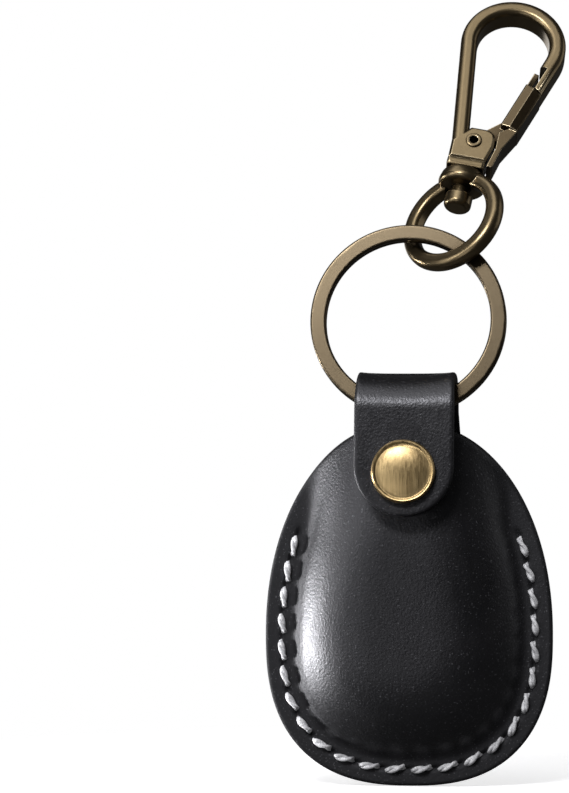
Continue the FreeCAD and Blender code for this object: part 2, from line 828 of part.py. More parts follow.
# Where the pieces go: the ring hangs in the arch, and the clasp's axis passes through the ring's band
ring_up = vec(0, math.sin(math.radians(ring_tip)), math.cos(math.radians(ring_tip)))
edge_reach = math.sqrt(ring_inner**2 - (strap_width / 2) ** 2)
arch_room = math.sqrt((arch_radius - ring_fit) ** 2 - (ring_thickness / 2) ** 2)
ring_centre = arch_centre + ring_up * (edge_reach + arch_room)
ring_turn = FreeCAD.Rotation(vec(1, 0, 0), -ring_tip)
hook_rotation = FreeCAD.Rotation(vec(0, 1, 0), hook_lean) * FreeCAD.Rotation(vec(1, 0, 0), -hook_tip)
crossing = vec(math.sin(math.radians(eye_place_angle)), 0, math.cos(math.radians(eye_place_angle)))
crossing_point = ring_centre + ring_turn.multVec(crossing * ring_middle)
crossing_height = eye_bottom + eye_band / 2 + eye_ring_gap + ring_band / 2
eye_axis = FreeCAD.Rotation(vec(0, 0, 1), -eye_turn).multVec(vec(0, 1, 0))
hook_base = crossing_point - hook_rotation.multVec(eye_axis * eye_side_shift + vec(0, 0, crossing_height))
origin = hook_base + hook_rotation.multVec(bow_centre)


def put(shape, rotation, base):
    """A copy put at a place, measured from the hook's bow."""
    copy = shape.copy()
    copy.Placement = FreeCAD.Placement(base - origin, rotation).multiply(copy.Placement)
    return copy


places, holes, pitch = stitch_places()
needle, bobbin = stitch_rows(places)
upright = FreeCAD.Rotation()
nowhere = vec(0, 0, 0)
case_pieces = {
    "back_panel": back_panel(holes, pitch),
    "front_panel": front_panel(holes, pitch),
    "needle_thread": needle,
    "bobbin_thread": bobbin,
    "strap_tongue": strap_tongue(),
    "snap_cap": snap_cap(),
    "snap_socket": snap_socket(),
    "snap_socket_spring": snap_socket_spring(),
    "snap_stud": snap_stud(),
    "snap_stud_post": snap_stud_post(),
}
clasp_pieces = {
    "hook_body": hook_body(),
    "gate": gate(),
    "gate_pin": gate_pin(),
    "gate_spring": gate_spring(),
    "swivel_post": swivel_post(),
    "swivel_eye": swivel_eye(),
}
model = {name: put(shape, upright, nowhere) for name, shape in case_pieces.items()}
model["key_ring"] = put(key_ring(), ring_turn, ring_centre)
for name, shape in clasp_pieces.items():
    model[name] = put(shape, hook_rotation, hook_base)

os.makedirs("parts", exist_ok=True)
for name, shape in model.items():
    shape.exportStep("parts/" + name + ".step")
    state = "valid" if shape.isValid() else "NOT VALID"
    print(name, len(shape.Solids), "solids", round(shape.Volume, 2), "mm3", state)
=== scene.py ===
import json
import math

import bpy
from mathutils import Matrix, Vector


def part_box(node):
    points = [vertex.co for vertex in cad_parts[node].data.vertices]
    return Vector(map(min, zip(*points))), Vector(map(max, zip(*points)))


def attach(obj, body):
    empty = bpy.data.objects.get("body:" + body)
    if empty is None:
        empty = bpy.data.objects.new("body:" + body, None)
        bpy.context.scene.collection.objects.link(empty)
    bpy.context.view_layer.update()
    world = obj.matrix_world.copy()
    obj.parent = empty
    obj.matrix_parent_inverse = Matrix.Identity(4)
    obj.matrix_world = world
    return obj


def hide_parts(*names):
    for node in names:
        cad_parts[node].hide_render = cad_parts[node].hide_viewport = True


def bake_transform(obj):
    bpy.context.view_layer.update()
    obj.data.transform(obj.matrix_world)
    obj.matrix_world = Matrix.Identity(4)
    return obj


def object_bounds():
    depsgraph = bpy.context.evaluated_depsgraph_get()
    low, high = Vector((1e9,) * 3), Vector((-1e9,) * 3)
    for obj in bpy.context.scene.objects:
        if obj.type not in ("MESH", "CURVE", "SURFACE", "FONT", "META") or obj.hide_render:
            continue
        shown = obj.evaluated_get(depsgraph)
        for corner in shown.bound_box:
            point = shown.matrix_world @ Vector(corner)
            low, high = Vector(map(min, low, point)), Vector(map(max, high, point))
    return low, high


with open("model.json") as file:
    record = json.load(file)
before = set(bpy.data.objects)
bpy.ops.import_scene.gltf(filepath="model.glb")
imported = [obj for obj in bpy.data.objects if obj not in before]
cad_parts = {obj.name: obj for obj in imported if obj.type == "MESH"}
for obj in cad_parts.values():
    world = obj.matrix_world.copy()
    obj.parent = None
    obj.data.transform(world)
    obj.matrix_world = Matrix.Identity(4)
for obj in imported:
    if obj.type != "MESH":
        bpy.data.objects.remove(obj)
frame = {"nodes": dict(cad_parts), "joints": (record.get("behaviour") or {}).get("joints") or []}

cad_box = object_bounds()

# Hook frame
# A cast frame of antique brass: a straight spine, a round bow and a nose, with two ears for the gate's
# rivet and a flat collar below. It is tumbled and darkened, then rubbed bright along its edges.
mm = 0.001
joints = {joint["name"]: joint for joint in frame["joints"]}
cast_weld = 0.002 * mm
flat_angle = 0.8
cast_edge_angle = 26


def deselect():
    if bpy.context.mode != "OBJECT":
        bpy.ops.object.mode_set(mode="OBJECT")
    bpy.ops.object.select_all(action="DESELECT")


def pick(piece):
    """Makes a piece the one selected, active object."""
    deselect()
    piece.select_set(True)
    bpy.context.view_layer.objects.active = piece


def smooth(piece, degrees):
    pick(piece)
    bpy.ops.object.shade_smooth_by_angle(angle=math.radians(degrees))


def apply_modifiers(piece):
    pick(piece)
    for name in [modifier.name for modifier in piece.modifiers]:
        bpy.ops.object.modifier_apply(modifier=name)


def recalculate(piece, distance):
    """Merges doubles within a distance and turns all faces outwards."""
    pick(piece)
    bpy.ops.object.mode_set(mode="EDIT")
    bpy.ops.mesh.select_all(action="SELECT")
    bpy.ops.mesh.remove_doubles(threshold=distance)
    bpy.ops.mesh.normals_make_consistent(inside=False)
    bpy.ops.object.mode_set(mode="OBJECT")


def flip(piece):
    """Turns all faces of a piece the other way."""
    pick(piece)
    bpy.ops.object.mode_set(mode="EDIT")
    bpy.ops.mesh.select_all(action="SELECT")
    bpy.ops.mesh.flip_normals()
    bpy.ops.object.mode_set(mode="OBJECT")


def clear_faces(piece):
    """Deselects all faces of a piece, so that some can be selected one by one."""
    pick(piece)
    bpy.ops.object.mode_set(mode="EDIT")
    bpy.ops.mesh.select_mode(type="FACE")
    bpy.ops.mesh.select_all(action="DESELECT")
    bpy.ops.object.mode_set(mode="OBJECT")


def cast_shape(node, name):
    """A copy of a metal node's shape, its flat faces made whole."""
    piece = bpy.data.objects.new(name, frame["nodes"][node].data.copy())
    bpy.context.scene.collection.objects.link(piece)
    recalculate(piece, cast_weld)
    bpy.ops.object.mode_set(mode="EDIT")
    bpy.ops.mesh.dissolve_limited(angle_limit=math.radians(flat_angle))
    bpy.ops.object.mode_set(mode="OBJECT")
    return piece


def cast_finish(piece, node, body, material):
    """Smooths a cast shape and puts it in its node's place."""
    piece.data.materials.clear()
    piece.data.materials.append(material)
    smooth(piece, cast_edge_angle)
    flat = piece.modifiers.new("flat_faces", "WEIGHTED_NORMAL")
    flat.weight = 50
    flat.keep_sharp = True
    apply_modifiers(piece)
    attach(piece, body)
    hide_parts(node)


def cast_piece(node, name, body, material):
    """A smooth-shaded piece on the shape of a metal node, which it replaces."""
    cast_finish(cast_shape(node, name), node, body, material)


def new_group(name, inputs, outputs):
    """An empty shader node group with its sockets; returns it with its two end nodes."""
    group = bpy.data.node_groups.new(name, "ShaderNodeTree")
    for socket, kind, value in inputs:
        made = group.interface.new_socket(socket, in_out="INPUT", socket_type=kind)
        made.default_value = value
    for socket, kind in outputs:
        group.interface.new_socket(socket, in_out="OUTPUT", socket_type=kind)
    return group, group.nodes.new("NodeGroupInput"), group.nodes.new("NodeGroupOutput")


def math_node(tree, operation, first, second=None):
    node = tree.nodes.new("ShaderNodeMath")
    node.operation = operation
    for socket, value in zip(node.inputs, (first, second)):
        if value is None:
            continue
        if isinstance(value, bpy.types.NodeSocket):
            tree.links.new(value, socket)
        else:
            socket.default_value = value
    return node.outputs["Value"]


def range_node(tree, value, low, high, to_low=0.0, to_high=1.0):
    node = tree.nodes.new("ShaderNodeMapRange")
    tree.links.new(value, node.inputs["Value"])
    for socket, setting in (("From Min", low), ("From Max", high), ("To Min", to_low), ("To Max", to_high)):
        if isinstance(setting, bpy.types.NodeSocket):
            tree.links.new(setting, node.inputs[socket])
        else:
            node.inputs[socket].default_value = setting
    return node.outputs["Result"]


def mix_colours(tree, share, first, second):
    node = tree.nodes.new("ShaderNodeMix")
    node.data_type = "RGBA"
    tree.links.new(share, node.inputs[0])
    for socket, value in ((node.inputs[6], first), (node.inputs[7], second)):
        if isinstance(value, bpy.types.NodeSocket):
            tree.links.new(value, socket)
        else:
            socket.default_value = value
    return node.outputs[2]


def noise_node(tree, place, scale, detail, roughness=0.55):
    node = tree.nodes.new("ShaderNodeTexNoise")
    tree.links.new(place, node.inputs["Vector"])
    node.inputs["Scale"].default_value = scale
    node.inputs["Detail"].default_value = detail
    node.inputs["Roughness"].default_value = roughness
    return node.outputs["Fac"]


def object_place(tree, scale=(1, 1, 1)):
    """Object coordinates, stretched by a mapping."""
    place = tree.nodes.new("ShaderNodeTexCoord")
    mapping = tree.nodes.new("ShaderNodeMapping")
    mapping.inputs["Scale"].default_value = scale
    tree.links.new(place.outputs["Object"], mapping.inputs["Vector"])
    return mapping.outputs["Vector"]


def bump_node(tree, height, strength, depth, normal=None):
    node = tree.nodes.new("ShaderNodeBump")
    node.inputs["Strength"].default_value = strength
    node.inputs["Distance"].default_value = depth
    tree.links.new(height, node.inputs["Height"])
    if normal is not None:
        tree.links.new(normal, node.inputs["Normal"])
    return node.outputs["Normal"]


def aged_metal_group():
    """Dark oxide in corners, worn metal on edges, clouded in between."""
    group, given, result = new_group(
        "aged_metal",
        [
            ("Dark", "NodeSocketColor", (0.03, 0.02, 0.012, 1)),
            ("Metal", "NodeSocketColor", (0.3, 0.22, 0.13, 1)),
            ("Worn", "NodeSocketColor", (0.7, 0.57, 0.38, 1)),
            ("Wear", "NodeSocketFloat", 0.8),
            ("Smoothest", "NodeSocketFloat", 0.2),
            ("Roughest", "NodeSocketFloat", 0.42),
        ],
        [
            ("Color", "NodeSocketColor"),
            ("Roughness", "NodeSocketFloat"),
            ("Normal", "NodeSocketVector"),
        ],
    )
    edge_reach = 0.26 * mm
    recess_reach = 2.6 * mm
    place = object_place(group)
    clouds = noise_node(group, place, 150, 3)
    specks = noise_node(group, place, 1900, 3)
    recess = group.nodes.new("ShaderNodeAmbientOcclusion")
    recess.inputs["Distance"].default_value = recess_reach
    recess.samples = 8
    rounded = group.nodes.new("ShaderNodeBevel")
    rounded.inputs["Radius"].default_value = edge_reach
    rounded.samples = 8
    surface = group.nodes.new("ShaderNodeNewGeometry")
    turn = group.nodes.new("ShaderNodeVectorMath")
    turn.operation = "DOT_PRODUCT"
    group.links.new(rounded.outputs["Normal"], turn.inputs[0])
    group.links.new(surface.outputs["Normal"], turn.inputs[1])
    open_share = range_node(group, recess.outputs["AO"], 0.25, 0.85)
    edge = range_node(group, turn.outputs["Value"], 0.995, 0.9)
    edge = math_node(group, "MULTIPLY", edge, open_share)
    edge = math_node(group, "MULTIPLY", edge, given.outputs["Wear"])
    edge = math_node(group, "MULTIPLY", edge, range_node(group, specks, 0.2, 0.5, 0.75, 1.0))
    cover = math_node(group, "MULTIPLY", open_share, range_node(group, clouds, 0.25, 0.7, 0.86, 1.0))
    base = mix_colours(group, cover, given.outputs["Dark"], given.outputs["Metal"])
    colour = mix_colours(group, edge, base, given.outputs["Worn"])
    rough = range_node(group, specks, 0.3, 0.7, given.outputs["Smoothest"], given.outputs["Roughest"])
    height = math_node(group, "ADD", specks, clouds)
    normal = bump_node(group, height, 0.03, 0.03 * mm, rounded.outputs["Normal"])
    group.links.new(colour, result.inputs["Color"])
    group.links.new(rough, result.inputs["Roughness"])
    group.links.new(normal, result.inputs["Normal"])
    return group


aged_metal = aged_metal_group()


def new_material(name):
    material = bpy.data.materials.new(name)
    material.use_nodes = True
    return material, material.node_tree, material.node_tree.nodes["Principled BSDF"]


def antique_brass(name, dark, metal, worn, wear, smoothest, roughest):
    """Darkened cast brass with its own amount of wear."""
    material, tree, shader = new_material(name)
    group = tree.nodes.new("ShaderNodeGroup")
    group.node_tree = aged_metal
    group.inputs["Dark"].default_value = dark
    group.inputs["Metal"].default_value = metal
    group.inputs["Worn"].default_value = worn
    group.inputs["Wear"].default_value = wear
    group.inputs["Smoothest"].default_value = smoothest
    group.inputs["Roughest"].default_value = roughest
    tree.links.new(group.outputs["Color"], shader.inputs["Base Color"])
    tree.links.new(group.outputs["Roughness"], shader.inputs["Roughness"])
    tree.links.new(group.outputs["Normal"], shader.inputs["Normal"])
    shader.inputs["Metallic"].default_value = 1.0
    return material


oxide = (0.018, 0.011, 0.006, 1)
bronze = (0.2, 0.152, 0.087, 1)
rubbed_brass = (0.8, 0.66, 0.44, 1)
hook_brass = antique_brass("hook_brass", oxide, bronze, rubbed_brass, 0.9, 0.28, 0.33)
cast_piece("hook_body", "hook_frame", "hook", hook_brass)

# Gate, rivet and spring
# A pressed brass gate with a ridge along its bar swings inwards on a hollow rivet between the ears,
# and a small torsion spring inside its root closes it.
# The gate gets a darker copy of the hook's brass: painted shade for its faces turned away from the light.
shade_painted_bronze = (0.11, 0.082, 0.048, 1)
shaded_gate_brass = antique_brass("shaded_gate_brass", oxide, shade_painted_bronze, rubbed_brass, 1.0, 0.28, 0.33)
ridge_height = 0.4 * mm
gate = cast_shape("gate", "gate_bar")
gate_out = Vector(joints["gate_swing"]["axis"]).normalized()
gate_out = gate_out if gate_out.y < 0 else -gate_out
facing = [polygon for polygon in gate.data.polygons if polygon.normal.dot(gate_out) > 0.99]
bar_face = max(facing, key=lambda polygon: polygon.area)
corners = [gate.data.vertices[i].co for i in bar_face.vertices]
bar_way = max((b - a for a, b in zip(corners, corners[1:] + corners[:1])), key=lambda way: way.length)
bar_side = bar_way.cross(gate_out).normalized()
reaches = [corner.dot(bar_side) for corner in corners]
bar_middle = bar_side * (min(reaches) + max(reaches)) / 2
face_index = bar_face.index
clear_faces(gate)
gate.data.polygons[face_index].select = True
bpy.ops.object.mode_set(mode="EDIT")
bpy.ops.mesh.bisect(plane_co=bar_middle, plane_no=bar_side)
bpy.ops.transform.translate(value=gate_out * ridge_height)
bpy.ops.object.mode_set(mode="OBJECT")
cast_finish(gate, "gate", "gate", shaded_gate_brass)
cast_piece("gate_pin", "gate_rivet", "hook", hook_brass)


def drawn_steel():
    """Plain spring wire: fine lines along the draw."""
    material, tree, shader = new_material("spring_wire")
    lines = noise_node(tree, object_place(tree, (1, 8, 1)), 1500, 2)
    pale = (0.5, 0.5, 0.52, 1)
    dull = (0.33, 0.33, 0.34, 1)
    tree.links.new(mix_colours(tree, lines, dull, pale), shader.inputs["Base Color"])
    tree.links.new(range_node(tree, lines, 0.3, 0.7, 0.25, 0.4), shader.inputs["Roughness"])
    shader.inputs["Metallic"].default_value = 1.0
    return material


def dress(node, material):
    """Gives a node that stays its finish."""
    slots = frame["nodes"][node].data.materials
    slots.clear()
    slots.append(material)


spring_wire = drawn_steel()
dress("gate_spring", spring_wire)

# Swivel post and eye
# The post is seated in the collar and peened into a knob; the eye's boss turns on it. The eye is cast
# round outside and flatter inside.
cast_piece("swivel_post", "swivel_knob", "hook", hook_brass)
cast_piece("swivel_eye", "swivel_loop", "eye", hook_brass)

# Split ring
# Two turns of flat brass wire wound side by side, with bright rubbed edges and a satin face.
ring_brass = antique_brass(
    "ring_brass", oxide, (0.1, 0.078, 0.05, 1), (0.8, 0.68, 0.49, 1), 0.8, 0.28, 0.33
)
cast_piece("key_ring", "split_ring", "ring", ring_brass)

# Back panel
# A flat piece of black vegetable-tanned leather, cut in one with the strap, whose first part folds over
# the ring. Its edges are burnished round. The sizes of the holder are in millimetres.
leather = 1.6
low, high = (Vector(corner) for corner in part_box("back_panel"))
case_x = (low.x + high.x) / 2 / mm
case_bottom = low.z / mm
back_y = high.y / mm - leather
half_width = (high.x - low.x) / 2 / mm
base_height = 23.8
case_height = (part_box("front_panel")[1][2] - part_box("front_panel")[0][2]) / mm
crown_height = case_height - base_height
base_power = 2.5
crown_power = 2.1
arch_axis = Vector(joints["case_swing"]["pos_m"]) / mm
arch_z = arch_axis.z - case_bottom
arch_radius = back_y - arch_axis.y
tongue_low, tongue_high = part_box("strap_tongue")
half_strap = (tongue_high[0] - tongue_low[0]) / 2 / mm
seam_angle = 64
fold_steps = 12
around = 384
corner_share = 0.6
weld = 0.001 * mm
burnish_width = 0.5
back_insets = [0.6, 1.2, 2, 3, 4.5, 6.5, 9, 12, 15, 18, 20.5]


def leather_group():
    """Fine pores and soft creases of smooth black leather."""
    group, given, result = new_group(
        "leather_grain",
        [("Pore size", "NodeSocketFloat", 3000.0)],
        [(name, "NodeSocketFloat") for name in ("Height", "Clouds", "Scuffs", "Specks")],
    )
    place = object_place(group)
    pores = group.nodes.new("ShaderNodeTexVoronoi")
    pores.feature = "SMOOTH_F1"
    group.links.new(place, pores.inputs["Vector"])
    group.links.new(given.outputs["Pore size"], pores.inputs["Scale"])
    folds = noise_node(group, place, 2400, 3, 0.65)
    specks = range_node(group, noise_node(group, place, 3300, 1), 0.66, 0.74)
    clouds = noise_node(group, place, 90, 4)
    scuffs = noise_node(group, object_place(group, (1, 1, 0.35)), 520, 6, 0.7)
    height = math_node(group, "ADD", pores.outputs["Distance"], math_node(group, "MULTIPLY", folds, 0.8))
    group.links.new(height, result.inputs["Height"])
    group.links.new(clouds, result.inputs["Clouds"])
    group.links.new(scuffs, result.inputs["Scuffs"])
    group.links.new(specks, result.inputs["Specks"])
    return group


leather_grain = leather_group()
rim_matte = 0.28


def black_leather(name, smoothest, roughest, grain, gloss):
    """Dyed and waxed leather, clouded and scuffed; its sheen is duller where a piece has a rim."""
    material, tree, shader = new_material(name)
    group = tree.nodes.new("ShaderNodeGroup")
    group.node_tree = leather_grain
    deep = (0.0025, 0.0025, 0.003, 1)
    worn = (0.007, 0.0068, 0.0078, 1)
    tone = range_node(tree, group.outputs["Clouds"], 0.3, 0.7)
    dusty = (0.06, 0.06, 0.066, 1)
    colour = mix_colours(tree, group.outputs["Specks"], mix_colours(tree, tone, deep, worn), dusty)
    tree.links.new(colour, shader.inputs["Base Color"])
    rough = range_node(tree, group.outputs["Scuffs"], 0.3, 0.7, smoothest, roughest)
    rim = tree.nodes.new("ShaderNodeAttribute")
    rim.attribute_name = "rim"
    matte = math_node(tree, "MULTIPLY", rim.outputs["Fac"], rim_matte)
    tree.links.new(math_node(tree, "ADD", rough, matte), shader.inputs["Roughness"])
    tree.links.new(bump_node(tree, group.outputs["Height"], grain, 0.05 * mm), shader.inputs["Normal"])
    shader.inputs["Specular IOR Level"].default_value = gloss
    shader.inputs["Specular Tint"].default_value = (0.93, 0.93, 1.0, 1)
    return material


case_leather = black_leather("case_leather", 0.38, 0.5, 0.75, 0.5)
strap_leather = black_leather("strap_leather", 0.28, 0.38, 0.5, 0.5)
cut_edge = black_leather("cut_edge", 0.42, 0.52, 0.4, 0.4)


def case_point(x, y, z):
    """A point of the case's own frame, in millimetres, placed in the object's frame in metres."""
    return Vector((case_x + x, back_y + y, case_bottom + z)) * mm


def outline_at(angle):
    """The case's outline at a turn round its widest height."""
    across = math.cos(angle)
    up = math.sin(angle)
    reach = crown_height if up > 0 else base_height
    power = crown_power if up > 0 else base_power
    x = half_width * math.copysign(abs(across) ** (2 / power), across)
    z = reach * math.copysign(abs(up) ** (2 / power), up)
    return x, z


def ringed_disc(name, insets):
    """A disc of radius 1 in XY, extruded inwards ring by ring at the given distances from its edge."""
    deselect()
    bpy.ops.mesh.primitive_circle_add(vertices=around, radius=1, fill_type="NOTHING")
    disc = bpy.context.object
    disc.name = name
    bpy.ops.object.mode_set(mode="EDIT")
    bpy.ops.mesh.select_all(action="SELECT")
    share = 1
    for inset in insets:
        next_share = 1 - inset / half_width
        bpy.ops.mesh.extrude_edges_move()
        step = next_share / share
        bpy.ops.transform.resize(value=(step, step, step))
        share = next_share
    bpy.ops.mesh.merge(type="CENTER")
    bpy.ops.object.mode_set(mode="OBJECT")
    return disc


def add_thickness(piece, material):
    """Solidifies a sheet by the leather's thickness, to the side its normals show."""
    piece.data.materials.append(material)
    piece.data.materials.append(cut_edge)
    solid = piece.modifiers.new("thickness", "SOLIDIFY")
    solid.material_offset_rim = 1
    solid.thickness = leather * mm
    solid.offset = 1
    solid.use_even_offset = False
    apply_modifiers(piece)


def burnish(piece, width):
    """Rounds the edges between the leather's faces and its cut sides."""
    kinds = {}
    for polygon in piece.data.polygons:
        for key in polygon.edge_keys:
            kinds.setdefault(key, set()).add(polygon.material_index)
    weights = piece.data.attributes.new("bevel_weight_edge", "FLOAT", "EDGE")
    for edge in piece.data.edges:
        weights.data[edge.index].value = len(kinds[edge.key]) - 1
    bevel = piece.modifiers.new("burnish", "BEVEL")
    bevel.width = width * mm
    bevel.segments = 3
    bevel.limit_method = "WEIGHT"
    bevel.material = 1
    apply_modifiers(piece)


def back_outline(angle):
    """The back's outline: the case's, with the strap standing on top of it."""
    x, z = outline_at(angle)
    step = half_width * 2 * math.pi / around * corner_share
    if z < 0 or abs(x) > half_strap + step:
        return x, z
    if abs(x) > half_strap:
        return math.copysign(half_strap, x), z
    width = half_strap if abs(x) > half_strap - step else abs(x)
    return math.copysign(width, x), arch_z - base_height


back = ringed_disc("back_leather", back_insets)
for vertex in back.data.vertices:
    share = vertex.co.xy.length
    x, z = back_outline(math.atan2(vertex.co.y, vertex.co.x)) if share > 0.01 else (0, 0)
    vertex.co = case_point(x * share, 0, base_height + z * share)
recalculate(back, weld)
if back.data.polygons[0].normal.y < 0:
    flip(back)
add_thickness(back, case_leather)
top = case_point(0, 0, arch_z).z
clear_faces(back)
for polygon in back.data.polygons:
    polygon.select = polygon.center.z > top - 0.1 * mm and polygon.normal.z > 0.9
bpy.ops.object.mode_set(mode="EDIT")
bpy.ops.mesh.spin(
    steps=fold_steps,
    dupli=False,
    angle=-math.radians(seam_angle),
    center=case_point(0, -arch_radius, arch_z),
    axis=(1, 0, 0),
)
bpy.ops.object.mode_set(mode="OBJECT")
recalculate(back, weld)
for polygon in back.data.polygons:
    if polygon.center.z > top:
        polygon.material_index = 1 if abs(polygon.normal.x) > 0.7 else 0
burnish(back, burnish_width)
smooth(back, 40)
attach(back, "case")
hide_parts("back_panel")

# Front panel
# The same leather, wetted and moulded over a form so that it bulges, and left open above.
# The stitches pull the leather in at each hole.
pocket_depth = 8.3
rim_width = 3.2
crease_run = 3.4
crease_growth = 0.5
flank_run = 13.0
flank_power = 2.4
side_run = 1.35
taper_start = 41.0
taper_slope = math.tan(math.radians(8))
edge_softness = 1.4
taper_softness = 2.0
stitch_end = 39.8
stitch_inset = 2.7
stitch_count = 24
panel_gap = 0.03


def soft_ramp(value, softness):
    return softness * math.log1p(math.exp(min(value / softness, 40)))


def eased(value, run):
    """Zero below 0, then a rounded start that goes over into a straight rise."""
    share = max(value, 0) / run
    return value - run / 2 if share > 1 else run * share**4 * (share * (share - 3) + 2.5)


def from_edge(x, z):
    """How far inside the seam's outline a point lies; above the seam the sides run on more steeply."""
    rise = z - base_height
    if rise <= 0:
        share = (abs(x) / half_width) ** base_power + (-rise / base_height) ** base_power
        return (1 - share ** (1 / base_power)) * half_width
    held = max(rise - side_run * soft_ramp(z - stitch_end, edge_softness), 0) / crown_height
    return half_width * (1 - held**crown_power) ** (1 / crown_power) - abs(x)


def outline_inset(x, z):
    """How far inside the outline a point lies, by its share of the way out from the widest height."""
    rise = z - base_height
    reach = crown_height if rise > 0 else base_height
    power = crown_power if rise > 0 else base_power
    share = ((abs(x) / half_width) ** power + (abs(rise) / reach) ** power) ** (1 / power)
    return (1 - share) * half_width


def bulge(x, z):
    """How far the front's inner face stands off the back."""
    crease = crease_run + crease_growth * soft_ramp(z - stitch_end, edge_softness)
    climb = min(eased(from_edge(x, z) - rim_width, crease) / flank_run, 1)
    full = pocket_depth - taper_slope * soft_ramp(z - taper_start, taper_softness)
    return full * (1 - (1 - climb) ** flank_power)


def seam_places():
    """Places along the sewn U: the middles of the stitches and the holes between them."""
    start = math.asin(((stitch_end - base_height) / (crown_height - stitch_inset)) ** (crown_power / 2))
    steps = 600
    points = []
    for i in range(steps + 1):
        x, z = outline_at(math.pi - start + (math.pi + 2 * start) * i / steps)
        reach = crown_height if z > 0 else base_height
        side = x * (1 - stitch_inset / half_width)
        points.append(Vector((side, z * (1 - stitch_inset / reach) + base_height)))
    lengths = [0]
    for first, second in zip(points, points[1:]):
        lengths.append(lengths[-1] + (second - first).length)
    places = []
    at = 0
    for k in range(2 * stitch_count + 1):
        wanted = lengths[-1] * k / (2 * stitch_count)
        while at < steps - 1 and lengths[at + 1] < wanted:
            at += 1
        way = points[at + 1] - points[at]
        places.append((points[at] + way.normalized() * (wanted - lengths[at]), way.normalized()))
    return places[1::2], places[0::2]


stitch_middles, awl_holes = seam_places()
slant = math.radians(12)
hole_long = 0.7
hole_short = 0.36
hole_depth = 0.65
hole_reach = 2.0
seam_zone = 5.5


def seam_dent(x, z):
    """How deep the leather is drawn in at a point by the nearest awl hole."""
    depth = 0
    for place, way in awl_holes:
        off = Vector((x, z)) - place
        if off.length > hole_reach:
            continue
        along = off.x * way.x + off.y * way.y
        across = off.y * way.x - off.x * way.y
        turned = along * math.cos(slant) + across * math.sin(slant)
        square = across * math.cos(slant) - along * math.sin(slant)
        pull = (turned / hole_long) ** 2 + (square / hole_short) ** 2
        depth = max(depth, hole_depth * math.exp(-pull))
    return depth


rim_insets = [0.7, 1.0, 1.3, 1.6]
seam_insets = [1.6 + 0.2 * i for i in range(1, 12)]
flank_insets = [4.2 + 0.45 * i for i in range(20)]
middle_insets = [13.6, 14.8, 16, 17.4, 18.8, 20.2, 21.5]
front = ringed_disc("front_leather", rim_insets + seam_insets + flank_insets + middle_insets)
for vertex in front.data.vertices:
    share = vertex.co.xy.length
    x, z = outline_at(math.atan2(vertex.co.y, vertex.co.x)) if share > 0.01 else (0, 0)
    x, z = x * share, base_height + z * share
    vertex.co = case_point(x, -bulge(x, z) - panel_gap, z)
recalculate(front, weld)
if front.data.polygons[0].normal.y > 0:
    flip(front)
add_thickness(front, case_leather)
slope_step = 0.05
rim_fade = 1.2
rim = front.data.attributes.new("rim", "FLOAT", "POINT")
layer_count = len(front.data.vertices) // 2
for outer, inner in zip(front.data.vertices[:layer_count], front.data.vertices[layer_count:]):
    x = inner.co.x / mm - case_x
    z = inner.co.z / mm - case_bottom
    slope_x = (bulge(x + slope_step, z) - bulge(x - slope_step, z)) / (2 * slope_step)
    slope_z = (bulge(x, z + slope_step) - bulge(x, z - slope_step)) / (2 * slope_step)
    thickness = leather * math.sqrt(1 + slope_x**2 + slope_z**2)
    edge = outline_inset(x, z)
    dent = seam_dent(x, z) if edge < seam_zone else 0
    outer.co = inner.co + Vector((0, dent - thickness, 0)) * mm
    rim.data[outer.index].value = max(1 - bulge(x, z) / rim_fade, 0)
burnish(front, burnish_width)
smooth(front, 45)
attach(front, "case")
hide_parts("front_panel")

# Strap tongue
# The rest of the strap: over the ring, down the front and round at the end.
tongue_slope = math.radians(8)
tongue_drop = 17.0
fold_length = arch_radius * (math.pi - tongue_slope - math.radians(seam_angle))
tip_middle = fold_length + tongue_drop - half_strap
fold_sag = 0.7
sag_onset = 1.6
tongue_insets = [0, 0.8, 1.3, 1.8, 2.6, 3.6, 4.8, 6.2, half_strap]
straight_rows = 46
tip_rows = 18


def soft_step(value):
    t = min(max(value, 0), 1)
    return t * t * t * (t * (6 * t - 15) + 10)


def strap_place(x, length):
    """A point of the strap's inner face, from its distance along the strap."""
    sag = fold_sag * (1 - (x / half_strap) ** 2)
    start = math.radians(seam_angle)
    end = math.pi - tongue_slope
    angle = min(start + length / arch_radius, end)
    y = -arch_radius + arch_radius * math.cos(angle)
    z = arch_z + (arch_radius - sag * soft_step((angle - start) * sag_onset)) * math.sin(angle)
    past = max(length - fold_length, 0)
    return case_point(x, y - past * math.sin(tongue_slope), z - past * math.cos(tongue_slope))


def tongue_flat(column, row):
    """Flat place on the tongue: columns step in from the left edge and out to the right one."""
    count = len(tongue_insets)
    side = -1 if column < count else 1
    inset = tongue_insets[column] if column < count else tongue_insets[2 * count - 2 - column]
    reach = half_strap - inset
    if row <= straight_rows:
        return side * reach, tip_middle * row / straight_rows
    turn = math.pi / 2 * (row - straight_rows) / tip_rows
    return side * reach * math.cos(turn), tip_middle + reach * math.sin(turn)


deselect()
columns = 2 * len(tongue_insets) - 2
rows = straight_rows + tip_rows
bpy.ops.mesh.primitive_grid_add(x_subdivisions=columns, y_subdivisions=rows, size=2)
tongue = bpy.context.object
tongue.name = "strap_leather"
for vertex in tongue.data.vertices:
    column = round((vertex.co.x + 1) / 2 * columns)
    row = round((vertex.co.y + 1) / 2 * rows)
    x, length = tongue_flat(column, row)
    vertex.co = strap_place(x, length)
recalculate(tongue, weld)
if tongue.data.polygons[len(tongue.data.polygons) // 2].normal.y > 0:
    flip(tongue)
add_thickness(tongue, strap_leather)
seam_way = Vector((0, -math.sin(math.radians(seam_angle)), math.cos(math.radians(seam_angle))))
for polygon in tongue.data.polygons:
    if polygon.normal.dot(seam_way) < -0.9 and polygon.center.y > case_point(0, -arch_radius, 0).y:
        polygon.material_index = 0
burnish(tongue, burnish_width)
smooth(tongue, 45)
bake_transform(tongue)
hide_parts("strap_tongue")

